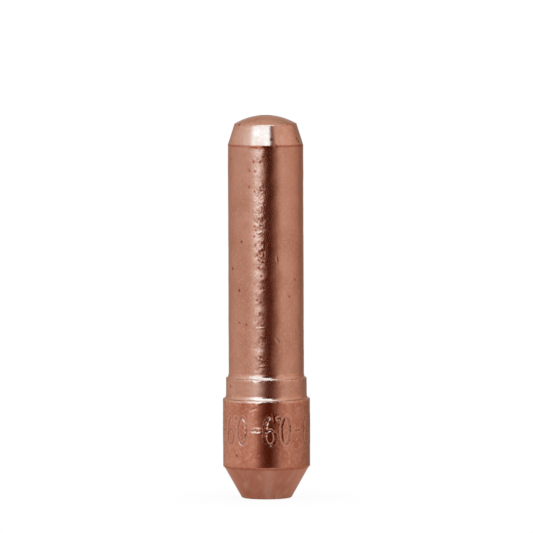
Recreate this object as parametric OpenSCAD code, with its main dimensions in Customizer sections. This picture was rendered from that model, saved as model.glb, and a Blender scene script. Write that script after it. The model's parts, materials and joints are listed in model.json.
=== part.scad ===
// Welding contact tip of the drop-in kind, turned from one length of copper rod.
// It stands on its seat end, with the domed nose and the wire's way out at the top.
// The origin is the middle of the seat end, and +Z runs up the wire bore to the nose.

/* [Nose] */
// Radius of the domed end
dome_r = 5.4; // [4.6:0.1:12]
// Length of the nose chamfer along the axis
nose_chamfer_l = 1.91; // [1:0.01:3]
// Slope of the nose chamfer, measured from the axis
nose_chamfer_angle = 17.5; // [10:0.5:30]

/* [Barrel] */
// Diameter of the long barrel
barrel_d = 6.86; // [6.4:0.02:9]
// Length of the barrel, from the collar's ledge to the nose chamfer
barrel_l = 21.22; // [12:0.02:40]

/* [Collar] */
// How far the collar stands out from the barrel, on the radius
collar_step = 0.24; // [0.15:0.01:0.6]
// Length of the collar along the axis
collar_l = 1.9; // [1:0.05:4]
// Radius of the fillet between the barrel and the collar's ledge
collar_root_r = 0.16; // [0.02:0.01:0.3]

/* [Head] */
// How far the head stands out from the collar, on the radius
head_step = 0.3; // [0.2:0.005:0.8]
// Length of the head along the axis
head_l = 6.19; // [3:0.01:10]
// Radius of the fillet between the collar and the head's ledge
head_root_r = 0.21; // [0.02:0.01:0.4]
// Radius of the rounded outer edges of the collar's and the head's ledges
ledge_edge_r = 0.06; // [0.02:0.01:0.2]

/* [Seat] */
// Length of the tapered seat, from the seat end to the head
seat_l = 2.9; // [2:0.01:3.4]
// Slope of the tapered seat, measured from the axis
seat_half_angle = 29.5; // [18:0.5:32]
// Size of the 45 degree break between the head and the seat
seat_break = 0.17; // [0.05:0.01:0.25]
// Radius of the rounded edge of the seat end
seat_edge_r = 0.15; // [0.05:0.01:0.25]

/* [Wire bore] */
// Diameter of the bore that the wire runs through
bore_d = 1.1; // [0.7:0.05:1.5]
// Size of the 45 degree break where the bore leaves the nose
exit_break = 0.06; // [0.02:0.01:0.2]
// Diameter of the lead-in funnel at the seat end
funnel_d = 2; // [1.6:0.05:2.2]
// Slope of the lead-in funnel, measured from the axis
funnel_half_angle = 30; // [20:1:60]

/* [Hidden] */
$fn = 128;
copper = "#B8826C";

// Radii, from the bore outwards
bore_r = bore_d / 2;
exit_r = bore_r + exit_break;
funnel_r = funnel_d / 2;
barrel_r = barrel_d / 2;
collar_r = barrel_r + collar_step;
head_r = collar_r + head_step;
nose_r = barrel_r - nose_chamfer_l * tan(nose_chamfer_angle);

// Heights, from the seat end upwards
break_z = seat_l - seat_break;
head_top = seat_l + head_l;
collar_top = head_top + collar_l;
barrel_top = collar_top + barrel_l;
chamfer_top = barrel_top + nose_chamfer_l;
funnel_top = (funnel_r - bore_r) / tan(funnel_half_angle);

// The tapered seat narrows from the break to the seat end
break_r = head_r - seat_break;
seat_end_r = break_r - break_z * tan(seat_half_angle);

// The dome's centre lies on the axis, and the bore takes the dome's very tip
dome_z = chamfer_top - sqrt(dome_r * dome_r - nose_r * nose_r);
apex_z = dome_z + dome_r;
exit_z = dome_z + sqrt(dome_r * dome_r - exit_r * exit_r);

// Until the dome is cut, the nose chamfer and the bore's break run on up to the height of the apex
blank_r = barrel_r - (apex_z - barrel_top) * tan(nose_chamfer_angle);
blank_exit_r = exit_r + apex_z - exit_z;

// A fillet and a rounded edge share each ledge, and neither takes more than its share
root_share = 0.72;
edge_share = 0.25;
collar_root = min(collar_root_r, root_share * collar_step);
collar_edge = min(ledge_edge_r, edge_share * collar_step);
head_root = min(head_root_r, root_share * head_step);
head_edge = min(ledge_edge_r, edge_share * head_step);

// The seat end's rounded edge is an arc that touches the flat end and the taper
seat_edge_steps = 6;
seat_edge_touch = seat_edge_r / tan((90 + seat_half_angle) / 2);
seat_edge_centre = [seat_end_r - seat_edge_touch, seat_edge_r];
seat_edge = [
    for (i = [0:seat_edge_steps])
        let (turn = -90 + (90 - seat_half_angle) * i / seat_edge_steps)
            seat_edge_centre + seat_edge_r * [cos(turn), sin(turn)]
];

// Half of the section, radius against height, before the dome and the ledges are rounded
outline = concat(
    [[funnel_r, 0]],
    seat_edge,
    [
        [break_r, break_z],
        [head_r, seat_l],
        [head_r, head_top],
        [collar_r, head_top],
        [collar_r, collar_top],
        [barrel_r, collar_top],
        [barrel_r, barrel_top],
        [blank_r, apex_z],
        [blank_exit_r, apex_z],
        [bore_r, exit_z - exit_break],
        [bore_r, funnel_top]
    ]
);

// What lies between a corner and an arc from a to b: a fillet's metal, or a rounded edge's waste
module beyond_arc(a, corner, b, centre, r) {
    difference() {
        polygon([a, corner, b]);
        translate(centre) circle(r);
    }
}

// Metal in the inner corner where a wall of radius wall_r meets a ledge
module root_fillet(wall_r, ledge_z, r) {
    beyond_arc([wall_r, ledge_z + r], [wall_r, ledge_z], [wall_r + r, ledge_z],
        [wall_r + r, ledge_z + r], r);
}

// Waste of the outer corner where a ledge meets a wall of radius wall_r
module ledge_edge(wall_r, ledge_z, r) {
    beyond_arc([wall_r - r, ledge_z], [wall_r, ledge_z], [wall_r, ledge_z - r],
        [wall_r - r, ledge_z - r], r);
}

// Waste outside the domed end
module outside_dome() {
    difference() {
        translate([0, barrel_top]) square([barrel_d, nose_chamfer_l + dome_r]);
        translate([0, dome_z]) circle(dome_r);
    }
}

module tip_section() {
    difference() {
        union() {
            polygon(outline);
            root_fillet(barrel_r, collar_top, collar_root);
            root_fillet(collar_r, head_top, head_root);
        }
        ledge_edge(collar_r, collar_top, collar_edge);
        ledge_edge(head_r, head_top, head_edge);
        outside_dome();
    }
}

module contact_tip() {
    color(copper) rotate_extrude() tip_section();
}

contact_tip();
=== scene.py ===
import json
import math
import random

import bpy
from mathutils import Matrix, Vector


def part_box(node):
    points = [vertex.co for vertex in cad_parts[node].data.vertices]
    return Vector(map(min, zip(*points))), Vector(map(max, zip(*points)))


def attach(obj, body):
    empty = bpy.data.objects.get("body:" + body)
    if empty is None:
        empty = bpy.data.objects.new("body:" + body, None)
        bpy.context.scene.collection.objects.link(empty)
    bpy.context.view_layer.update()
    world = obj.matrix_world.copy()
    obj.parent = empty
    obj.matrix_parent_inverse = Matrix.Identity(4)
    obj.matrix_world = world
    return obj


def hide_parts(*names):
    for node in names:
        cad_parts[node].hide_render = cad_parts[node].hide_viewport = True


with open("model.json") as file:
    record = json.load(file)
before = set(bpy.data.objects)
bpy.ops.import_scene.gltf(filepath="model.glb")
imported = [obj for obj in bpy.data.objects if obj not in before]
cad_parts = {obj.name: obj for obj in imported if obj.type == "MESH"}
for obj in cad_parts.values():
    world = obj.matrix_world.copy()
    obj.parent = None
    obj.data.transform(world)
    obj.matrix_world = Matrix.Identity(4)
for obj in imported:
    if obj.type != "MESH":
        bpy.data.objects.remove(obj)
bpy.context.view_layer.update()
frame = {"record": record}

# A welding contact tip, turned from one length of copper rod and standing on its seat end.
# It is modelled in millimetres, and the finished mesh is brought to metres.
MM = 0.001
FULL_TURN = 2 * math.pi

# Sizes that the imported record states
mounts = {mount["name"]: mount for mount in frame["record"]["mounts"]}


def measured_wall(name):
    """Radius, foot and top of a round wall that the record states, in millimetres."""
    mount = mounts[name]
    middle = mount["pos_m"][2] / MM
    half = mount["dims"]["length_mm"] / 2
    return mount["dims"]["r_mm"], middle - half, middle + half


bore_r, bore_foot, bore_top = measured_wall("wire_bore")
barrel_r, _, barrel_top = measured_wall("barrel")
collar_r, _, collar_top = measured_wall("collar")
head_r, head_foot, head_top = measured_wall("head")
head_ledge = mounts["clamp_ledge"]["pos_m"][2] / MM
collar_ledge = collar_top + head_ledge - head_top
exit_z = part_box("contact_tip")[1].z / MM

# The domed nose and its chamfer
DOME_R = 5.4
NOSE_CHAMFER_L = 1.91
NOSE_CHAMFER_ANGLE = 17.5
nose_r = barrel_r - NOSE_CHAMFER_L * math.tan(math.radians(NOSE_CHAMFER_ANGLE))
nose_z = barrel_top + NOSE_CHAMFER_L

# The wire's way out at the nose, and the lead-in funnel at the seat end
exit_r = bore_r + exit_z - bore_top
FUNNEL_R = 1.0

# The ledges: the tool left a flare up the wall above, and wear has rounded the edge below
COLLAR_FLARE = 0.5
HEAD_FLARE = 0.4
COLLAR_WEAR = 0.14
HEAD_WEAR = 0.22
WEAR_W = 0.05
LEDGE_FLAT = 0.03
COLLAR_TAPER = 0.012
barrel_wall_foot = collar_ledge + COLLAR_FLARE
collar_wall_top = collar_ledge - COLLAR_WEAR
collar_wall_foot = head_ledge + HEAD_FLARE
head_wall_top = head_ledge - HEAD_WEAR

# The tapered seat and its edges
SEAT_HALF_ANGLE = 29.5
SEAT_BREAK = 0.17
SEAT_EDGE_R = 0.15
break_r = head_r - SEAT_BREAK
break_z = head_foot - SEAT_BREAK

# Widths of the mesh's rows along the section, how many columns go round, and the fewest steps of an arc
WALL_ROW = 0.15
FINE_ROW = 0.11
EDGE_ROW = 0.04
BORE_ROW = 3.0
COLUMNS = 216
ARC_STEPS_LEAST = 4

# A turned corner is broken by this much, and vertices closer than this are one
CORNER_BREAK = 0.03
MERGE = 0.002


def straight(start, end, spacing):
    """Points from start towards end, in even steps of about spacing, without the end."""
    count = max(1, round(math.dist(start, end) / spacing))
    shares = [i / count for i in range(count)]
    return [(start[0] + (end[0] - start[0]) * s, start[1] + (end[1] - start[1]) * s) for s in shares]


def arc(centre, width, height, start, end, spacing):
    """Points along a round or oval arc from start to end degrees, with both ends."""
    count = max(ARC_STEPS_LEAST, round(math.radians(abs(end - start)) * max(width, height) / spacing))
    turns = [math.radians(start + (end - start) * i / count) for i in range(count + 1)]
    return [(centre[0] + width * math.cos(t), centre[1] + height * math.sin(t)) for t in turns]


def toward(start, end, distance):
    """The point at a distance from start on the way to end."""
    share = distance / math.dist(start, end)
    return (start[0] + (end[0] - start[0]) * share, start[1] + (end[1] - start[1]) * share)


def ledge(inner_r, outer_r, height, flare, wear):
    """A ledge from its worn outer edge to the top of the flare on the wall above it."""
    edge = arc((outer_r - WEAR_W, height - wear), WEAR_W, wear, 0, 90, EDGE_ROW)
    flare_w = outer_r - inner_r - WEAR_W - LEDGE_FLAT
    return edge + arc((inner_r + flare_w, height + flare), flare_w, flare, -90, -180, EDGE_ROW)


def half_section():
    """Half of the tip's section as (radius, height) points, once round from the funnel's mouth."""
    break_foot = (break_r, break_z)
    break_top = (head_r, head_foot)
    seat_end_r = break_r - break_z * math.tan(math.radians(SEAT_HALF_ANGLE))
    touch = SEAT_EDGE_R / math.tan(math.radians(90 + SEAT_HALF_ANGLE) / 2)
    edge_centre = (seat_end_r - touch, SEAT_EDGE_R)
    seat_edge = arc(edge_centre, SEAT_EDGE_R, SEAT_EDGE_R, -90, -SEAT_HALF_ANGLE, EDGE_ROW)
    seat_top = toward(break_foot, seat_edge[-1], CORNER_BREAK)
    head_ring = ledge(collar_r + COLLAR_TAPER, head_r, head_ledge, HEAD_FLARE, HEAD_WEAR)
    collar_ring = ledge(barrel_r, collar_r, collar_ledge, COLLAR_FLARE, COLLAR_WEAR)
    shoulder = (barrel_r, barrel_top)
    nose_corner = (nose_r, nose_z)
    chamfer_foot = toward(shoulder, nose_corner, CORNER_BREAK)
    chamfer_end = toward(nose_corner, shoulder, CORNER_BREAK)
    barrel_end = (barrel_r, barrel_top - CORNER_BREAK)
    dome_z = exit_z - math.sqrt(DOME_R ** 2 - exit_r ** 2)
    dome_start = math.degrees(math.acos(nose_r / DOME_R))
    dome_end = math.degrees(math.acos(exit_r / DOME_R))
    dome = arc((0, dome_z), DOME_R, DOME_R, dome_start, dome_end, FINE_ROW)
    points = straight((FUNNEL_R, 0), seat_edge[0], WALL_ROW) + seat_edge[:-1]
    points += straight(seat_edge[-1], seat_top, WALL_ROW) + [seat_top]
    points += [toward(break_foot, break_top, CORNER_BREAK), toward(break_top, break_foot, CORNER_BREAK)]
    points += straight((head_r, head_foot + CORNER_BREAK), head_ring[0], FINE_ROW) + head_ring[:-1]
    points += straight(head_ring[-1], collar_ring[0], WALL_ROW) + collar_ring[:-1]
    points += straight(collar_ring[-1], barrel_end, WALL_ROW) + [barrel_end]
    points += straight(chamfer_foot, chamfer_end, FINE_ROW) + [chamfer_end]
    points += dome[1:-1] + [(exit_r, exit_z)]
    points += straight((bore_r, bore_top), (bore_r, bore_foot), BORE_ROW)
    points += straight((bore_r, bore_foot), (FUNNEL_R, 0), WALL_ROW)
    return points


def only(piece):
    """Selects one piece alone and makes it the active one."""
    bpy.ops.object.select_all(action="DESELECT")
    piece.select_set(True)
    bpy.context.view_layer.objects.active = piece


def polyline(name, points, closed=False):
    """A chain of edges through points, extruded vertex by vertex from a plane drawn together."""
    bpy.ops.object.select_all(action="DESELECT")
    bpy.ops.mesh.primitive_plane_add(size=1.0, location=(0, 0, 0))
    piece = bpy.context.object
    piece.name = name
    bpy.ops.object.mode_set(mode="EDIT")
    bpy.ops.mesh.select_mode(type="VERT")
    bpy.ops.mesh.merge(type="CENTER")
    bpy.ops.transform.translate(value=points[0])
    chain = points + points[:1] if closed else points
    for here, there in zip(chain, chain[1:]):
        step = Vector(there) - Vector(here)
        bpy.ops.mesh.extrude_region_move(TRANSFORM_OT_translate={"value": step})
    bpy.ops.mesh.select_all(action="SELECT")
    bpy.ops.mesh.remove_doubles(threshold=MERGE)
    bpy.ops.object.mode_set(mode="OBJECT")
    return piece


def joined(pieces):
    """Several pieces joined into one."""
    bpy.ops.object.select_all(action="DESELECT")
    for piece in pieces:
        piece.select_set(True)
    bpy.context.view_layer.objects.active = pieces[0]
    bpy.ops.object.join()
    return pieces[0]


def remove(guide):
    """Deletes a guide that has done its work."""
    only(guide)
    bpy.ops.object.delete()


def turned_blank():
    """The bare tip, spun from its half section."""
    section = [(radius, 0, height) for radius, height in half_section()]
    blank = polyline("copper_tip", section, closed=True)
    bpy.ops.object.mode_set(mode="EDIT")
    bpy.ops.mesh.select_all(action="SELECT")
    bpy.ops.mesh.spin(steps=COLUMNS, angle=FULL_TURN, center=(0, 0, 0), axis=(0, 0, 1))
    bpy.ops.mesh.select_all(action="SELECT")
    bpy.ops.mesh.remove_doubles(threshold=MERGE)
    bpy.ops.mesh.normals_make_consistent(inside=False)
    bpy.ops.object.mode_set(mode="OBJECT")
    return blank


def select_faces(piece, wanted):
    """Selects the faces whose middle, as (radius, height), is wanted, and leaves edit mode on."""
    only(piece)
    bpy.ops.object.mode_set(mode="EDIT")
    bpy.ops.mesh.select_mode(type="FACE")
    bpy.ops.mesh.select_all(action="DESELECT")
    bpy.ops.object.mode_set(mode="OBJECT")
    for face in piece.data.polygons:
        face.select = wanted(math.hypot(face.center.x, face.center.y), face.center.z)
    bpy.ops.object.mode_set(mode="EDIT")


def fade(value, near, far):
    """1 up to near and 0 from far on, with a smooth fall between them."""
    share = min(1.0, max(0.0, (far - value) / (far - near)))
    return share * share * (3 - 2 * share)


def on_wall(radius, turn, height):
    """The point on a round wall, turned from the front towards the right, seen from the front."""
    angle = math.radians(turn)
    return (radius * math.sin(angle), -radius * math.cos(angle), height)


def weigh(piece, name, weight):
    """A vertex group on the tip's outside, weighed by turn from the front and height."""
    group = piece.vertex_groups.new(name=name)
    for vertex in piece.data.vertices:
        x, y, height = vertex.co
        share = weight(math.degrees(math.atan2(x, -y)), height)
        if share > 0 and math.hypot(x, y) > FUNNEL_R:
            group.add([vertex.index], share, "REPLACE")


def weigh_near(piece, name, guide, full, reach, feature="EDGE"):
    """A vertex group that weighs 1 within full of the guide's edges or vertices, and 0 beyond reach."""
    weigh(piece, name, lambda turn, height: 1.0)
    only(piece)
    nearness = piece.modifiers.new("nearness", "VERTEX_WEIGHT_PROXIMITY")
    nearness.vertex_group = name
    nearness.target = guide
    nearness.proximity_mode = "GEOMETRY"
    nearness.proximity_geometry = {feature}
    nearness.max_dist = full
    nearness.min_dist = reach
    nearness.falloff_type = "SMOOTH"
    bpy.ops.object.modifier_apply(modifier=nearness.name)


# The grey at which a texture neither raises nor sinks
MID_GREY = 0.5


def displace(piece, group, distance, texture=None, middle=0.0, direction="NORMAL"):
    """Moves a vertex group by a distance, times how far the texture is from its middle grey."""
    only(piece)
    move = piece.modifiers.new("move", "DISPLACE")
    move.vertex_group = group
    move.direction = direction
    move.strength = distance
    move.mid_level = middle
    move.texture = texture
    move.texture_coords = "LOCAL"
    bpy.ops.object.modifier_apply(modifier=move.name)


def raise_near(piece, name, guide, full, reach, rise, feature="EDGE"):
    """Raises or sinks the metal near a guide, keeps that as a vertex group, and removes the guide."""
    weigh_near(piece, name, guide, full, reach, feature)
    displace(piece, name, rise)
    remove(guide)


def clouds(name, size, detail=1):
    """A cloud texture whose lumps are about a size in millimetres."""
    texture = bpy.data.textures.new(name, "CLOUDS")
    texture.noise_scale = size
    texture.noise_depth = detail
    return texture


# The size mark is plain figures, pressed in upside down all round the head. These are the sizes and places
# in one group of them, how many groups there are, and where the first one starts. TAIL_END and MARK_START
# are in degrees, and a whole oval is drawn in ROUND_STEPS steps.
FIGURE_W = 0.88
FIGURE_H = 2.45
BOWL_H = 1.35
TAIL_END = -80
POINT_R = 0.08
DASH_W = 0.6
POINT_AT = 0.74
NINE_AT = 1.48
DASH_AT = 2.8
MARK_GROUPS = 6
MARK_Z = 6.36
MARK_START = 26.0
ROUND_STEPS = 22
ROUND_STEPS_LEAST = 6

# The pressed groove, the lip that it raised, and the size and depth of what is uneven in them
GROOVE_FLAT = 0.04
GROOVE_HALF = 0.17
GROOVE_DEPTH = 0.085
LIP_FLAT = 0.18
LIP_REACH = 0.28
LIP_RISE = 0.012
MARK_UNEVEN = 0.3
MARK_RAGGED = 0.14
MARK_RAGGED_DEPTH = 0.026


def oval(middle, width, height, start=0, end=360):
    """Points along an oval, or a stretch of it, from start to end degrees."""
    steps = max(ROUND_STEPS_LEAST, round(ROUND_STEPS * abs(end - start) / 360))
    turns = [math.radians(start + (end - start) * i / steps) for i in range(steps + 1)]
    return [(middle[0] + width * math.cos(t), middle[1] + height * math.sin(t)) for t in turns]


def mark_strokes():
    """One group of the size mark, as strokes of (along, up) points in millimetres."""
    bowl_up = (FIGURE_H - BOWL_H) / 2
    zero = oval((0, 0), FIGURE_W / 2, FIGURE_H / 2)
    point = oval((POINT_AT, POINT_R - FIGURE_H / 2), POINT_R, POINT_R)
    bowl = oval((NINE_AT, bowl_up), FIGURE_W / 2, BOWL_H / 2)
    tail = oval((NINE_AT, bowl_up), FIGURE_W / 2, bowl_up + FIGURE_H / 2, 0, TAIL_END)
    dash = [(DASH_AT - DASH_W / 2, 0), (DASH_AT + DASH_W / 2, 0)]
    return [zero, point, bowl, tail, dash]


def mark_guide():
    """The mark's strokes as edges on the head, one group modelled and the others copied round."""
    strokes = []
    for stroke in mark_strokes():
        places = [(MARK_START - math.degrees(along / head_r), MARK_Z - up) for along, up in stroke]
        strokes.append(polyline("stroke", [on_wall(head_r, *place) for place in places]))
    guide = joined(strokes)
    bpy.ops.object.mode_set(mode="EDIT")
    bpy.ops.mesh.select_all(action="SELECT")
    for copy in range(1, MARK_GROUPS):
        bpy.ops.mesh.duplicate()
        bpy.ops.transform.rotate(value=FULL_TURN / MARK_GROUPS, orient_axis="Z", center_override=(0, 0, 0))
    bpy.ops.object.mode_set(mode="OBJECT")
    return guide


# A weight below this counts as none
SLIGHT_WEIGHT = 0.001


def refine(piece, group):
    """Halves the mesh's spacing where a vertex group weighs anything."""
    only(piece)
    bpy.ops.object.vertex_group_set_active(group=group)
    bpy.ops.object.vertex_group_clean(group_select_mode="ACTIVE", limit=SLIGHT_WEIGHT)
    bpy.ops.object.mode_set(mode="EDIT")
    bpy.ops.mesh.select_mode(type="VERT")
    bpy.ops.mesh.select_all(action="DESELECT")
    bpy.ops.object.vertex_group_select()
    bpy.ops.mesh.subdivide(number_cuts=1)
    bpy.ops.object.mode_set(mode="OBJECT")


def press_mark(tip):
    """Presses the figures in unevenly, with the metal's lip around them."""
    guide = mark_guide()
    weigh_near(tip, "marked", guide, 0.0, LIP_REACH)
    refine(tip, "marked")
    weigh_near(tip, "lip", guide, LIP_FLAT, LIP_REACH)
    weigh_near(tip, "groove", guide, GROOVE_FLAT, GROOVE_HALF)
    displace(tip, "lip", LIP_RISE)
    displace(tip, "groove", -GROOVE_DEPTH, clouds("mark_depth", MARK_UNEVEN))
    displace(tip, "lip", MARK_RAGGED_DEPTH, clouds("mark_edge", MARK_RAGGED), MID_GREY)
    remove(guide)


# The strip of the barrel that faces the front, by turn in degrees, which is worked finely and ends softly
STRIP_LEFT = -24.0
STRIP_RIGHT = 9.0
STRIP_BLUR = 10.0

# Specks that the front shows, as (wall's radius, turn, height), and as (how far up, turn) on the chamfer.
# More of them are scattered round the back. The mesh is refined within a speck's room, and the dent is
# whole up to its full and gone at its reach.
CHAMFER_SPECKS = [(0.6, 10.4), (0.62, 61.0), (0.35, 64.0)]
FRONT_SPECKS = [
    (barrel_r, -39.7, 23.5), (barrel_r, -61.4, 21.0), (barrel_r, -45.1, 19.1), (barrel_r, -69.0, 31.0),
    (collar_r, -62.4, 10.3), (head_r, -43.0, 4.1), (nose_r, -58.5, nose_z)]
MORE_SPECKS = 30
SPECK_ROOM = 0.22
SPECK_FULL = 0.07
SPECK_REACH = 0.17
SPECK_DEPTH = 0.006
SPECK_SEED = 4
BACK_FROM = 80.0
BACK_SWEEP = 200.0

# Fainter specks on the barrel, most of them in the front strip, as (turn, height)
FAINT_SPECKS = [
    (-18.7, 30.8), (-8.2, 30.7), (-16.7, 29.9), (-25.3, 30.0), (-17.3, 28.1), (-6.9, 28.2), (-26.2, 28.5),
    (-17.3, 24.9), (-18.1, 24.0), (-15.9, 23.2), (-13.1, 22.3), (-8.3, 22.4), (-10.3, 21.1), (-6.9, 20.4),
    (-13.8, 18.2), (-7.5, 18.0), (-9.6, 17.0), (-8.3, 13.0), (-45.0, 16.14), (-31.7, 15.99), (38.3, 18.54),
    (50.0, 20.04), (-9.0, 22.55), (-5.5, 22.75), (-3.2, 22.3), (-6.4, 22.0), (-10.4, 21.8), (-3.6, 21.65),
    (-3.0, 19.3)]
FAINT_FULL = 0.05
FAINT_REACH = 0.16

# Small pocks in the front strip, spread evenly by two steps that never fall into rows
POCKS = 60
POCKS_FROM = -20.0
POCKS_TO = -1.0
POCK_TURN_STEP = 0.7549
POCK_HEIGHT_STEP = 0.5698
POCK_FULL = 0.03
POCK_REACH = 0.12
POCK_DEPTH = 0.004

# Nicks and scratches, as (wall's radius, turn and height of one end, turn and height of the other)
SCRATCHES = [
    (barrel_r, 15.0, 14.67, 19.2, 14.47), (barrel_r, 16.2, 22.1, 17.4, 21.8),
    (head_r, -21.0, 8.22, -14.5, 8.42), (head_r, 8.0, 7.9, 10.0, 7.2),
    (barrel_r, 100.0, 25.0, 108.0, 25.6), (barrel_r, 150.0, 18.0, 163.0, 18.2),
    (barrel_r, 205.0, 28.0, 210.0, 27.2), (barrel_r, 240.0, 14.5, 252.0, 14.4),
    (head_r, 120.0, 4.2, 131.0, 4.6), (head_r, 215.0, 8.2, 224.0, 8.0)]
SCRATCH_ROOM = 0.2
SCRATCH_HALF = 0.12
SCRATCH_DEPTH = 0.02

# Burrs that a worn tool left proud of the barrel, given as the scratches are
BURRS = [
    (barrel_r, -14.0, 15.68, -2.0, 15.73), (barrel_r, -7.0, 14.98, -2.0, 14.85),
    (barrel_r, -11.5, 12.9, -4.0, 12.72), (barrel_r, -10.0, 12.2, 2.0, 12.28),
    (barrel_r, -12.0, 24.25, -6.0, 24.48)]
BURR_HALF = 0.11
BURR_RISE = 0.008


def strokes_guide(name, strokes):
    """Strokes on the tip's walls as one guide of edges."""
    pieces = []
    for radius, turn, height, end_turn, end_height in strokes:
        middle = on_wall(radius, (turn + end_turn) / 2, (height + end_height) / 2)
        ends = (on_wall(radius, turn, height), on_wall(radius, end_turn, end_height))
        pieces.append(polyline(name, [ends[0], middle, ends[1]]))
    return joined(pieces)


def spread_specks():
    """Places of all the specks: those that the front shows, and more round the back."""
    places = [on_wall(*speck) for speck in FRONT_SPECKS]
    for up, turn in CHAMFER_SPECKS:
        chamfer_r = barrel_r - up * math.tan(math.radians(NOSE_CHAMFER_ANGLE))
        places.append(on_wall(chamfer_r, turn, barrel_top + up))
    chance = random.Random(SPECK_SEED)
    for i in range(MORE_SPECKS):
        turn = chance.uniform(BACK_FROM, BACK_FROM + BACK_SWEEP)
        places.append(on_wall(barrel_r, turn, chance.uniform(barrel_wall_foot, barrel_top)))
    return places


def spread_pocks():
    """Places of the pocks in the front strip."""
    places = []
    for i in range(POCKS):
        turn = POCKS_FROM + (POCKS_TO - POCKS_FROM) * (i * POCK_TURN_STEP % 1)
        height = barrel_wall_foot + (barrel_top - barrel_wall_foot) * (i * POCK_HEIGHT_STEP % 1)
        places.append(on_wall(barrel_r, turn, height))
    return places


def in_strip(turn, height):
    """Whether a place is on the strip that is worked finely."""
    return STRIP_LEFT < turn < STRIP_RIGHT and barrel_wall_foot < height < barrel_top


def knock_about(tip):
    """Specks and pocks in small dents, scratches and burrs."""
    weigh(tip, "strip", in_strip)
    refine(tip, "strip")
    specks = polyline("specks", spread_specks())
    weigh_near(tip, "speckled", specks, 0.0, SPECK_ROOM, "VERTEX")
    refine(tip, "speckled")
    raise_near(tip, "specks", specks, SPECK_FULL, SPECK_REACH, -SPECK_DEPTH, "VERTEX")
    faint_specks = polyline("faint_specks", [on_wall(barrel_r, *place) for place in FAINT_SPECKS])
    raise_near(tip, "faint_specks", faint_specks, FAINT_FULL, FAINT_REACH, -SPECK_DEPTH, "VERTEX")
    pocks = polyline("pocks", spread_pocks())
    raise_near(tip, "pocks", pocks, POCK_FULL, POCK_REACH, -POCK_DEPTH, "VERTEX")
    strokes = strokes_guide("stroke", SCRATCHES + BURRS)
    weigh_near(tip, "stroked", strokes, 0.0, SCRATCH_ROOM)
    refine(tip, "stroked")
    remove(strokes)
    scratches = strokes_guide("scratch", SCRATCHES)
    raise_near(tip, "scratches", scratches, 0.0, SCRATCH_HALF, -SCRATCH_DEPTH)
    burrs = strokes_guide("burr", BURRS)
    raise_near(tip, "burrs", burrs, 0.0, BURR_HALF, BURR_RISE)


# Patches where the barrel is pitted, as (turn, height, half of the width in degrees, half of the height).
# Pitting is full up to PATCH_FULL of those halves, and ends at PATCH_END of them.
PIT_PATCHES = [(-7, 25.0, 15, 5.2), (80, 15.5, 30, 4.5), (165, 27.0, 34, 6.0), (-118, 17.0, 30, 5.5)]
PATCH_FULL = 0.5
PATCH_END = 1.1

# How much of the pits, and of the wider hollows, the front strip has outside the patches, and the rest has
PITTED = (0.2, 0.1)
HOLLOWED = (0.58, 0.16)

# How far below the shoulder the pits fade out, the sizes and depths of the pits, hollows, waves and dents,
# and the head's share of the waves
PIT_MARGIN = 0.3
PIT_SIZE = 0.13
PIT_DEPTH = 0.017
HOLLOW_SIZE = 0.5
HOLLOW_DEPTH = 0.024
WAVE_SIZE = 1.6
WAVE_DEPTH = 0.036
HEAD_DENT_SIZE = 0.6
HEAD_DENT_DEPTH = 0.003
HEAD_WAVES = 0.15


def pitted(turn, height, in_strip_share, elsewhere):
    """How pitted a place on the barrel is: all in the patches, less in the front strip and elsewhere."""
    inside = fade(STRIP_LEFT - turn, -STRIP_BLUR, 0.0) * fade(turn - STRIP_RIGHT, -STRIP_BLUR, 0.0)
    share = elsewhere + (in_strip_share - elsewhere) * inside
    for patch in PIT_PATCHES:
        share = max(share, patch_share(patch, turn, height))
    share *= fade(barrel_wall_foot - height, 0.0, COLLAR_FLARE)
    return share * fade(height - barrel_top, -PIT_MARGIN, 0.0)


def patch_share(patch, turn, height):
    """How much of a patch's pitting a place has, 1 in its middle and 0 outside it."""
    patch_turn, patch_height, half_turn, half_height = patch
    away = (turn - patch_turn + 180) % 360 - 180
    return fade(math.hypot(away / half_turn, (height - patch_height) / half_height), PATCH_FULL, PATCH_END)


# Paler streaks on the seat, as (turn, half of the width in degrees): rub wear, and at the front a painted
# reflection
SEAT_RUBS_AND_SHEEN = [(3, 15), (-74, 30), (62, 32), (128, 14), (-150, 20)]


def rubbed(turn, height):
    """How much a place on the seat takes of its paler streaks, part rub wear and part painted reflection.
    """
    share = 0.0
    for rub_turn, half in SEAT_RUBS_AND_SHEEN:
        share = max(share, fade(abs((turn - rub_turn + 180) % 360 - 180), 0.0, half))
    return share if height < break_z else 0.0


# The darkest stretch of the painted shade line below the shoulder: its middle, half of its width, and its
# reach and drop
SHADE_LINE_TURN = -9.0
SHADE_LINE_HALF = 22.0
SHADE_LINE_REACH = 0.2
SHADE_LINE_DROP = 0.06


def shaded_below_shoulder(turn, height):
    """How much of the painted shade line a place below the shoulder's front takes."""
    along = fade(abs(turn - SHADE_LINE_TURN), SHADE_LINE_HALF / 2, SHADE_LINE_HALF)
    return along * fade(abs(height - barrel_top + SHADE_LINE_DROP), SHADE_LINE_DROP, SHADE_LINE_REACH)


def wavy(turn, height):
    """How much of the waves a place has: all on the barrel and the collar, little on the head."""
    if height < head_foot or height > barrel_top:
        return 0.0
    return HEAD_WAVES + (1 - HEAD_WAVES) * fade(-height, -collar_wall_foot, -head_wall_top)


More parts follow.
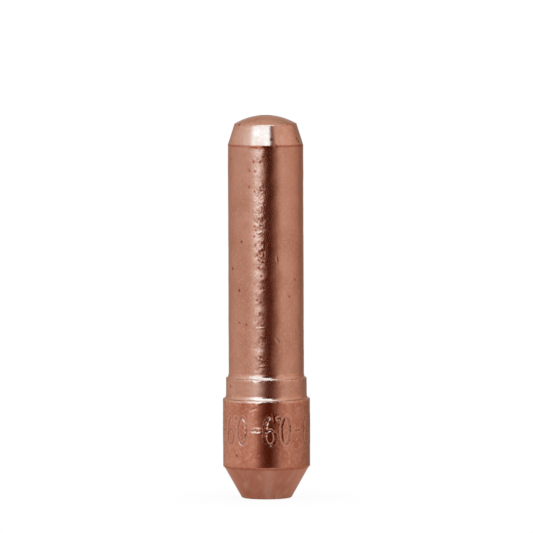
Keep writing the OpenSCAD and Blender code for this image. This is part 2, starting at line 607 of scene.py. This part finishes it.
# Turned edges that wander, as (name, radius, height, reach, size of the lumps, rise, swell)
RAGGED_EDGES = [
    ("nose_edge", nose_r, nose_z, 0.25, 0.6, 0.12, 0.03),
    ("shoulder", barrel_r, barrel_top, 0.3, 0.5, 0.16, 0.03),
    # The shoulder_line group also carries the painted shade line along the shoulder
    ("shoulder_line", barrel_r, barrel_top, 0.16, 0.3, 0.04, 0.01),
    ("collar_edge", collar_r, collar_ledge - COLLAR_WEAR / 2, 0.16, 0.4, 0.1, 0.08),
    ("head_edge", head_r, head_ledge - HEAD_WEAR / 2, 0.2, 0.4, 0.1, 0.08),
    ("seat_edge", head_r, head_foot, 0.2, 0.5, 0.1, 0.03)]
SWELL_DETAIL = 2


def ragged_edge(tip, name, radius, height, reach, size, rise, swell):
    """Lets a turned edge wander up and down and in and out, as a burr that was wiped off does."""
    bpy.ops.object.select_all(action="DESELECT")
    bpy.ops.mesh.primitive_circle_add(vertices=COLUMNS, radius=radius, location=(0, 0, height))
    guide = bpy.context.object
    weigh_near(tip, name, guide, 0.0, reach)
    displace(tip, name, rise, clouds(name + "_rise", size), MID_GREY, "Z")
    displace(tip, name, swell, clouds(name + "_swell", size / 2, SWELL_DETAIL), MID_GREY)
    remove(guide)


def weather(tip):
    """The barrel's pits and waves, the head's shallow dents, and the wiped burrs of the turned edges."""
    weigh(tip, "pits", lambda turn, height: pitted(turn, height, *PITTED))
    displace(tip, "pits", PIT_DEPTH, clouds("pits", PIT_SIZE), MID_GREY)
    weigh(tip, "hollows", lambda turn, height: pitted(turn, height, *HOLLOWED))
    displace(tip, "hollows", HOLLOW_DEPTH, clouds("hollows", HOLLOW_SIZE), MID_GREY)
    weigh(tip, "walls", wavy)
    displace(tip, "walls", WAVE_DEPTH, clouds("waves", WAVE_SIZE), MID_GREY)
    weigh(tip, "head", lambda turn, height: head_foot < height < head_wall_top)
    displace(tip, "head", HEAD_DENT_DEPTH, clouds("dents", HEAD_DENT_SIZE), MID_GREY)
    for edge in RAGGED_EDGES:
        ragged_edge(tip, *edge)
    # The front of the shoulder takes a painted shade line
    weigh(tip, "front_line", shaded_below_shoulder)
    # The seat's paler streaks: part rub wear, part painted reflection
    weigh(tip, "rubs", rubbed)


# What the materials read from the mesh: for each attribute, how much of it the vertex groups give
KEPT = {
    "grime": {"groove": 0.6, "specks": 1.4, "pocks": 0.5},
    # edges: painted shade lines along the shoulder, seat and nose edges, and the faint specks' own colour
    "edges": {
        "shoulder_line": 0.75, "front_line": 1.0, "seat_edge": 0.6, "nose_edge": 0.2, "faint_specks": 0.95},
    "pitting": {"hollows": 0.8, "head": 0.4},
    # Paler: the seat's streaks, part rub wear and part painted reflection, and the mark's lip
    "rubbing": {"rubs": 0.75, "lip": 0.6}}


def store(tip, attribute, depths):
    """Keeps an attribute for the materials: at each vertex, the most that any of the groups gives it."""
    shares = {tip.vertex_groups[name].index: depth for name, depth in depths.items()}
    values = []
    for vertex in tip.data.vertices:
        found = [share.weight * shares[share.group] for share in vertex.groups if share.group in shares]
        values.append(max(found, default=0.0))
    tip.data.attributes.new(attribute, "FLOAT", "POINT").data.foreach_set("value", values)


WHITE = "#FFFFFF"

# A Mix node's sockets when it mixes colours: its share, its two colours, and its result
MIX_SHARE = 0
MIX_UNDER = 6
MIX_OVER = 7
MIX_RESULT = 2


def linear(hex_colour):
    """An sRGB hex colour as linear RGBA."""
    parts = [int(hex_colour[i:i + 2], 16) / 255 for i in (1, 3, 5)]
    light = [p / 12.92 if p <= 0.04045 else ((p + 0.055) / 1.055) ** 2.4 for p in parts]
    return (*light, 1.0)


def node(tree, kind, inputs=None, **settings):
    """Adds a node with its settings, and sets or links its inputs."""
    new = tree.nodes.new(kind)
    for name, value in settings.items():
        setattr(new, name, value)
    for key, value in (inputs or {}).items():
        if isinstance(value, bpy.types.NodeSocket):
            tree.links.new(value, new.inputs[key])
        else:
            new.inputs[key].default_value = value
    return new


def new_material(name):
    """An empty node material and its tree."""
    material = bpy.data.materials.new(name)
    material.use_nodes = True
    material.node_tree.nodes.clear()
    return material, material.node_tree


# Tints that all the copper takes, and the sizes in millimetres of the grain that they come in
GRIME = "#733828"
GRIME_GRAIN = 0.22
# The edge colour paints shade lines along the shoulder, seat and nose edges, and is also the faint specks'
# own colour
EDGE_SHADE_AND_SPECK = "#92422A"
PIT_STAIN = "#8E4E3C"
PIT_GRAIN = 0.13

# Dust: a share of the cells of this size in millimetres hold a speck, whose core and rim are given as
# shares of a cell
DUST_CELL = 1.2
DUST_SHARE = 0.3
DUST_CORE = 0.035
DUST_RIM = 0.07

# The copper's noises, as (how fine, where the pattern starts in it, where it is full, its least), and how
# far a tool ring runs on before it changes, in millimetres
STAIN_NOISE = (4.0, 0.38, 0.68, 0.0)
MOTTLE_NOISE = (2.0, 0.48, 0.75, 0.0)
PIT_NOISE = (1.0, 0.58, 0.68, 0.0)
GRIME_NOISE = (2.0, 0.35, 0.65, 0.4)
RING_NOISE = (2.0, 0.0, 1.0, 0.0)
RING_LENGTH = 6.0

# How rough the clean and the stained copper are, as shares of the finish's roughness
CLEAN_ROUGH = 0.96
STAINED_ROUGH = 1.08

# What glancing reflections take on, and the quarter turn that draws highlights out along the tip
EDGE_TINT = "#E8D2C6"
UPRIGHT = 0.25


def copper(name, tone, stain, pale, patch, mottle, stretch, roughness, spread, ring, ring_depth):
    """Copper with stains, paler mottling and streaks, painted shade lines along its edges, grime and tool
    rings.

    patch and mottle are the sizes of the stains and the mottling in millimetres, and stretch is how much
    longer than wide they are, along the tip. spread is how far highlights are drawn out along the tip.
    ring and ring_depth are the spacing and depth of the tool rings, in millimetres. The real rings are too
    fine to show, so they are drawn coarser.
    """
    material, tree = new_material(name)
    place = node(tree, "ShaderNodeTexCoord").outputs["Object"]
    patterns = {
        "stain": (patch, patch * stretch, STAIN_NOISE), "mottle": (mottle, mottle * stretch, MOTTLE_NOISE),
        "pits": (PIT_GRAIN, PIT_GRAIN, PIT_NOISE), "grime": (GRIME_GRAIN, GRIME_GRAIN, GRIME_NOISE),
        "rings": (RING_LENGTH, ring, RING_NOISE)}
    shares = {}
    for pattern, (wide, tall, (detail, start, full, least)) in patterns.items():
        scale = (1 / (wide * MM), 1 / (wide * MM), 1 / (tall * MM))
        spot = node(tree, "ShaderNodeMapping", {"Vector": place, "Scale": scale})
        noise = node(tree, "ShaderNodeTexNoise", {
            "Vector": spot.outputs[0], "Scale": 1.0, "Detail": detail})
        share = node(tree, "ShaderNodeMapRange", {
            "Value": noise.outputs[0], "From Min": start, "From Max": full, "To Min": least})
        shares[pattern] = share.outputs[0]
    kept = {}
    for attribute in KEPT:
        kept[attribute] = node(tree, "ShaderNodeAttribute", attribute_name=attribute).outputs["Fac"]
    paled = node(tree, "ShaderNodeMath", {0: shares["mottle"], 1: kept["rubbing"]}, operation="MAXIMUM")
    pits = node(tree, "ShaderNodeMath", {0: shares["pits"], 1: kept["pitting"]}, operation="MULTIPLY")
    settled = node(tree, "ShaderNodeMath", {
        0: kept["grime"], 1: shares["grime"]}, operation="MULTIPLY", use_clamp=True)
    cell = (1 / (DUST_CELL * MM), 1 / (DUST_CELL * MM), 1 / (DUST_CELL * MM))
    spot = node(tree, "ShaderNodeMapping", {"Vector": place, "Scale": cell})
    cells = node(tree, "ShaderNodeTexVoronoi", {"Vector": spot.outputs[0], "Scale": 1.0})
    dot = node(tree, "ShaderNodeMapRange", {
        "Value": cells.outputs["Distance"], "From Min": DUST_CORE, "From Max": DUST_RIM,
        "To Min": 1.0, "To Max": 0.0})
    picked = node(tree, "ShaderNodeMath", {
        0: cells.outputs["Color"], 1: 1 - DUST_SHARE}, operation="GREATER_THAN")
    dust = node(tree, "ShaderNodeMath", {0: dot.outputs[0], 1: picked.outputs[0]}, operation="MULTIPLY")
    dirt = node(tree, "ShaderNodeMath", {0: settled.outputs[0], 1: dust.outputs[0]}, operation="MAXIMUM")
    # The layers: stains, paler mottling and streaks, pit stains, painted edge shade lines with the faint
    # specks, and grime and dust
    layers = [(shares["stain"], stain), (paled.outputs[0], pale), (pits.outputs[0], PIT_STAIN),
              (kept["edges"], EDGE_SHADE_AND_SPECK), (dirt.outputs[0], GRIME)]
    colour = linear(tone)
    for share, tint in layers:
        mix = node(tree, "ShaderNodeMix", {
            MIX_SHARE: share, MIX_UNDER: colour, MIX_OVER: linear(tint)}, data_type="RGBA")
        colour = mix.outputs[MIX_RESULT]
    rough = node(tree, "ShaderNodeMapRange", {
        "Value": shares["stain"], "To Min": roughness * CLEAN_ROUGH, "To Max": roughness * STAINED_ROUGH})
    rings = node(tree, "ShaderNodeMath", {0: shares["rings"], 1: ring_depth}, operation="MULTIPLY")
    bump = node(tree, "ShaderNodeBump", {"Height": rings.outputs[0], "Distance": MM})
    around = node(tree, "ShaderNodeTangent", direction_type="RADIAL", axis="Z")
    shader = node(tree, "ShaderNodeBsdfPrincipled", {
        "Base Color": colour, "Metallic": 1.0, "Roughness": rough.outputs[0],
        "Normal": bump.outputs[0], "Tangent": around.outputs[0], "Anisotropic": spread,
        "Anisotropic Rotation": UPRIGHT, "Specular Tint": linear(EDGE_TINT)})
    node(tree, "ShaderNodeOutputMaterial", {"Surface": shader.outputs[0]})
    return material


def turned_copper():
    # Copper turned fine and tumbled: pink, with rings too fine to see that draw highlights out along it
    return copper("turned_copper", tone="#BB8772", stain="#B17B65", pale="#C0907D", patch=2.0, mottle=0.22,
                  stretch=1.0, roughness=0.178, spread=0.15, ring=0.3, ring_depth=0.001)


def brushed_copper():
    # Copper turned and then brushed: softer highlights than the barrel's
    return copper("brushed_copper", tone="#BC8A76", stain="#B27D68", pale="#C29280", patch=1.6, mottle=0.22,
                  stretch=1.0, roughness=0.215, spread=0.1, ring=0.3, ring_depth=0.0004)


def cut_copper():
    # Copper cut with a sharp tool: the brightest, with crisp highlights and faint rings
    return copper("cut_copper", tone="#C4907A", stain="#BA846E", pale="#CA9A86", patch=1.8, mottle=0.4,
                  stretch=1.0, roughness=0.17, spread=0.3, ring=0.15, ring_depth=0.0006)


def drawn_copper():
    # Copper as it was drawn into rod: redder and smooth, with faint streaks along it
    return copper("drawn_copper", tone="#B57862", stain="#A8654D", pale="#C08C78", patch=0.9, mottle=0.22,
                  stretch=1.3, roughness=0.125, spread=0.1, ring=0.3, ring_depth=0.0)


def rubbed_copper():
    # Copper rubbed dull by the seat it is pressed into
    return copper("rubbed_copper", tone="#AE705A", stain="#A86952", pale="#BA8471", patch=0.7, mottle=0.8,
                  stretch=4.0, roughness=0.3, spread=0.0, ring=0.15, ring_depth=0.002)


def drilled_copper():
    # Copper inside the drilled bore, dull and dark
    return copper("drilled_copper", tone="#7A4A38", stain="#6A3E2E", pale="#84523F", patch=1.0, mottle=0.4,
                  stretch=2.0, roughness=0.4, spread=0.0, ring=0.15, ring_depth=0.001)


def finish_of(radius, height):
    """Which finish a face of the blank has."""
    in_bore = radius < exit_r and height < exit_z
    in_funnel = radius < FUNNEL_R and height < bore_foot
    if in_bore or in_funnel:
        return "drilled"
    if height < head_foot:
        return "rubbed"
    if height < head_wall_top:
        return "drawn"
    if collar_wall_foot < height < collar_wall_top:
        return "brushed"
    if barrel_wall_foot < height < barrel_top:
        return "turned"
    return "cut"


# Edges that turn by more than this many degrees stay crisp
SMOOTH_ANGLE = 40


def copper_tip():
    """The tip: turned, marked, knocked about and weathered."""
    tip = turned_blank()
    finishes = {"turned": turned_copper(), "brushed": brushed_copper(), "cut": cut_copper(),
                "drawn": drawn_copper(), "rubbed": rubbed_copper(), "drilled": drilled_copper()}
    for index, (finish, material) in enumerate(finishes.items()):
        tip.data.materials.append(material)
        select_faces(tip, lambda radius, height: finish_of(radius, height) == finish)
        tip.active_material_index = index
        bpy.ops.object.material_slot_assign()
        bpy.ops.object.mode_set(mode="OBJECT")
    press_mark(tip)
    knock_about(tip)
    weather(tip)
    for attribute, depths in KEPT.items():
        store(tip, attribute, depths)
    only(tip)
    bpy.ops.object.shade_smooth_by_angle(angle=math.radians(SMOOTH_ANGLE))
    tip.scale = (MM, MM, MM)
    bpy.ops.object.transform_apply(location=False, rotation=False, scale=True)
    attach(tip, "root")
    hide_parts("contact_tip")


copper_tip()

# The studio: a round tent whose walls are known by their turn from the front and their rise, in degrees
TENT_R = 0.4
TENT_MIDDLE = 0.02
TENT_SEGMENTS = 180
TENT_RINGS = 240

# The cloth's light by turn, as (turn, level, warmth): a level of 1 lights the tip as plain white does, and
# warmth takes green and more blue away. The dark gap near the front is where the lens looks in.
FOOT_WALL = [
    (-180, 0.5, 0), (-130, 1.03, -0.05), (-85, 1.1, 0.0), (-62, 1.06, 0.06), (-44, 1.13, -0.04),
    (-34, 1.02, 0.02), (-27, 0.74, 0.22), (-20, 0.42, 0.4), (-13, 0.23, 0.55), (-5, 0.17, 0.66),
    (2, 0.15, 0.72), (11, 0.15, 0.72), (26, 0.39, 0.27), (36, 0.75, 0.11), (58, 0.96, 0.05),
    (92, 0.79, 0.1), (132, 0.57, 0.05), (158, 0.4, 0), (180, 0.5, 0)]
KNEE_WALL = [
    (-180, 0.5, 0), (-137, 0.8, 0.08), (-101, 0.86, 0.11), (-64, 0.64, 0.3), (-52, 0.74, 0.22),
    (-36, 1.24, -0.06), (-27, 1.26, 0.17), (-18, 0.72, 0.48), (-9, 0.24, 0.72), (2, 0.2, 0.7),
    (13, 0.2, 0.7), (30, 0.58, 0.37), (50, 1.04, 0.06), (61, 1.08, 0.05), (83, 1.06, 0.07),
    (111, 0.82, 0.15), (129, 0.5, 0.15), (180, 0.5, 0)]
LEVEL_WALL = [
    (-180, 0.5, 0), (-137, 0.8, 0.06), (-101, 0.94, 0.02), (-64, 1.06, 0), (-46, 1.08, -0.03),
    (-38, 1.26, -0.15), (-30, 1.76, -0.5), (-21, 1.8, -0.52), (-14, 1.42, -0.2), (-8, 0.78, 0.14),
    (-2, 0.3, 0.5), (5, 0.1, 0.7), (18, 0.08, 0.76), (33, 0.44, 0.32), (42, 0.88, 0.12), (51, 1.03, 0.05),
    (72, 0.98, 0.12), (96, 0.88, 0.18), (111, 0.74, 0.22), (129, 0.5, 0.17), (180, 0.5, 0)]
HIGH_WALL = [
    (-180, 0.78, 0), (-150, 0.8, 0), (-98, 1.0, -0.08), (-71, 1.15, -0.24), (-50, 1.4, -0.38),
    (-18, 1.0, -0.2), (-10, 0.1, 0.85), (12, 0.1, 0.85), (18, 0.3, 0.45), (27, 0.33, 0.35), (36, 1.0, 0.05),
    (67, 1.09, 0.03), (93, 1.03, 0.11), (109, 0.87, 0.13), (129, 0.56, 0.09), (155, 0.62, 0),
    (180, 0.78, 0)]
TOP_WALL = [
    (-180, 1.0, 0), (-125, 1.08, -0.06), (-60, 1.3, -0.3), (0, 1.3, -0.25), (60, 1.24, -0.3),
    (95, 1.14, -0.24), (130, 0.9, 0), (180, 1.0, 0)]
BLUE_POWER = 1.52

# Each higher wall, with the rises between which it takes over from the one below
HIGHER_WALLS = [
    (KNEE_WALL, -6.3, -5.4), (LEVEL_WALL, -4.6, -2.2), (HIGH_WALL, 5.0, 11.0), (TOP_WALL, 40.0, 60.0)]

# The bright lamp behind the cloth at the upper left, whose right edge leans out in two steps on its way up,
# each as (degrees, rise at its start, rise at its end). Its left, foot and top are where its light is full
# and where it is gone.
KEY_LEVEL = 1.85
KEY_WARMTH = -0.87
KEY_LEFT = (-42.0, -57.0)
KEY_RIGHT = -13.0
KEY_BLUR = 3.0
KEY_LEANS = [(29.5, 21.0, 27.0), (31.0, 42.0, 60.0)]
KEY_FOOT = (7.0, 4.0)
KEY_TOP = (70.0, 84.0)


def cloth(level, warmth):
    """The colour of the cloth's light."""
    return Vector((level, level * (1 - warmth), level * (1 - warmth) ** BLUE_POWER))


def wall_light(wall, turn):
    """A wall's light at a turn, between the two stops that it lies between."""
    for (start, level, warmth), (end, end_level, end_warmth) in zip(wall, wall[1:]):
        if turn <= end:
            return cloth(level, warmth).lerp(cloth(end_level, end_warmth), (turn - start) / (end - start))


def tent_light(turn, rise):
    """The tent's light at a turn and a rise."""
    light = wall_light(FOOT_WALL, turn)
    for wall, start, end in HIGHER_WALLS:
        light = light.lerp(wall_light(wall, turn), 1 - fade(rise, start, end))
    key_right = KEY_RIGHT
    for lean, start, end in KEY_LEANS:
        key_right += lean * (1 - fade(rise, start, end))
    across = fade(-turn, -KEY_LEFT[0], -KEY_LEFT[1])
    across *= fade(turn, key_right - KEY_BLUR, key_right + KEY_BLUR)
    upward = fade(-rise, -KEY_FOOT[0], -KEY_FOOT[1]) * fade(rise, *KEY_TOP)
    return light.lerp(cloth(KEY_LEVEL, KEY_WARMTH), across * upward)


def light_tent():
    """The tent's cloth, which only reflections see as it is lit; to the floor it is plain white."""
    bpy.ops.object.select_all(action="DESELECT")
    bpy.ops.mesh.primitive_uv_sphere_add(segments=TENT_SEGMENTS, ring_count=TENT_RINGS, radius=TENT_R,
                                         location=(0, 0, TENT_MIDDLE))
    tent = bpy.context.object
    tent.name = "light_tent"
    colours = []
    for vertex in tent.data.vertices:
        x, y, z = vertex.co.normalized()
        light = tent_light(math.degrees(math.atan2(x, -y)), math.degrees(math.asin(z)))
        colours.extend((*light, 1.0))
    tent.data.attributes.new("cloth_light", "FLOAT_COLOR", "POINT").data.foreach_set("color", colours)
    material, tree = new_material("tent_cloth")
    lit = node(tree, "ShaderNodeAttribute", attribute_name="cloth_light")
    reflected = node(tree, "ShaderNodeLightPath").outputs["Is Glossy Ray"]
    shown = node(tree, "ShaderNodeMix", {
        MIX_SHARE: reflected, MIX_UNDER: linear(WHITE), MIX_OVER: lit.outputs["Color"]}, data_type="RGBA")
    glow = node(tree, "ShaderNodeEmission", {"Color": shown.outputs[MIX_RESULT], "Strength": 1.0})
    node(tree, "ShaderNodeOutputMaterial", {"Surface": glow.outputs[0]})
    # The cloth is all round, so rays find it without its being sampled as a lamp
    material.cycles.emission_sampling = "NONE"
    tent.data.materials.append(material)
    tent.visible_camera = False


# The floor's radius in metres and its paint, and the distances in metres between which its share of plain
# white goes from FLOOR_WHITE to all. FLOOR_GLOSS is how much of that white the copper reflects.
FLOOR_R = 0.022
FLOOR_SIDES = 96
FLOOR_PAINT = "#F4F4F4"
FLOOR_SHADE_TO = 0.004
FLOOR_CLEAR_FROM = 0.014
FLOOR_WHITE = 0.93
FLOOR_GLOSS = 0.4


def floor():
    """A small white floor that keeps the tip's shadow and fades into the white behind it."""
    bpy.ops.object.select_all(action="DESELECT")
    bpy.ops.mesh.primitive_circle_add(vertices=FLOOR_SIDES, radius=FLOOR_R, fill_type="NGON",
                                      location=(0, 0, 0))
    board = bpy.context.object
    board.name = "floor"
    material, tree = new_material("white_board")
    paths = node(tree, "ShaderNodeLightPath").outputs
    gloss = node(tree, "ShaderNodeMath", {0: paths["Is Glossy Ray"], 1: FLOOR_GLOSS}, operation="MULTIPLY")
    through = node(tree, "ShaderNodeMath", {
        0: paths["Is Camera Ray"], 1: paths["Is Transmission Ray"]}, operation="MAXIMUM")
    seen = node(tree, "ShaderNodeMath", {0: through.outputs[0], 1: gloss.outputs[0]}, operation="MAXIMUM")
    place = node(tree, "ShaderNodeTexCoord").outputs["Object"]
    distance = node(tree, "ShaderNodeVectorMath", {0: place}, operation="LENGTH")
    white_share = node(tree, "ShaderNodeMapRange", {
        "Value": distance.outputs["Value"], "From Min": FLOOR_SHADE_TO, "From Max": FLOOR_CLEAR_FROM,
        "To Min": FLOOR_WHITE, "To Max": 1.0}, interpolation_type="SMOOTHSTEP")
    share = node(tree, "ShaderNodeMath", {
        0: seen.outputs[0], 1: white_share.outputs[0]}, operation="MULTIPLY")
    paint = node(tree, "ShaderNodeBsdfDiffuse", {"Color": linear(FLOOR_PAINT)})
    white = node(tree, "ShaderNodeEmission", {"Strength": 1.0})
    mixed = node(tree, "ShaderNodeMixShader", {
        0: share.outputs[0], 1: paint.outputs[0], 2: white.outputs[0]})
    node(tree, "ShaderNodeOutputMaterial", {"Surface": mixed.outputs[0]})
    board.data.materials.append(material)


def white_world():
    """Plain white all round, which is the background."""
    world = bpy.data.worlds.new("white")
    bpy.context.scene.world = world
    world.use_nodes = True
    tree = world.node_tree
    tree.nodes.clear()
    sky = node(tree, "ShaderNodeBackground", {"Color": linear(WHITE), "Strength": 1.0})
    node(tree, "ShaderNodeOutputWorld", {"Surface": sky.outputs[0]})


light_tent()
floor()
white_world()

# The camera looks a little down, from far enough for the straight sides to stay straight.
# PIXEL is the width of one pixel at the tip.
IMAGE_PX = 533
PIXEL = 0.0911 * MM
DISTANCE = 0.65
LOOK_DOWN = 3.6
AIM = Vector((0.00005, 0, 0.0211))
ROLL = -0.2

camera_data = bpy.data.cameras.new("camera")
camera = bpy.data.objects.new("camera", camera_data)
bpy.context.scene.collection.objects.link(camera)
camera_data.lens = camera_data.sensor_width * DISTANCE / (IMAGE_PX * PIXEL)
tilt = math.radians(LOOK_DOWN)
camera.location = AIM + DISTANCE * Vector((0, -math.cos(tilt), math.sin(tilt)))
camera.rotation_euler = (math.radians(90 - LOOK_DOWN), 0, 0)
camera.rotation_euler.rotate_axis("Z", math.radians(ROLL))
bpy.context.scene.camera = camera
bpy.context.scene.view_settings.view_transform = "Standard"
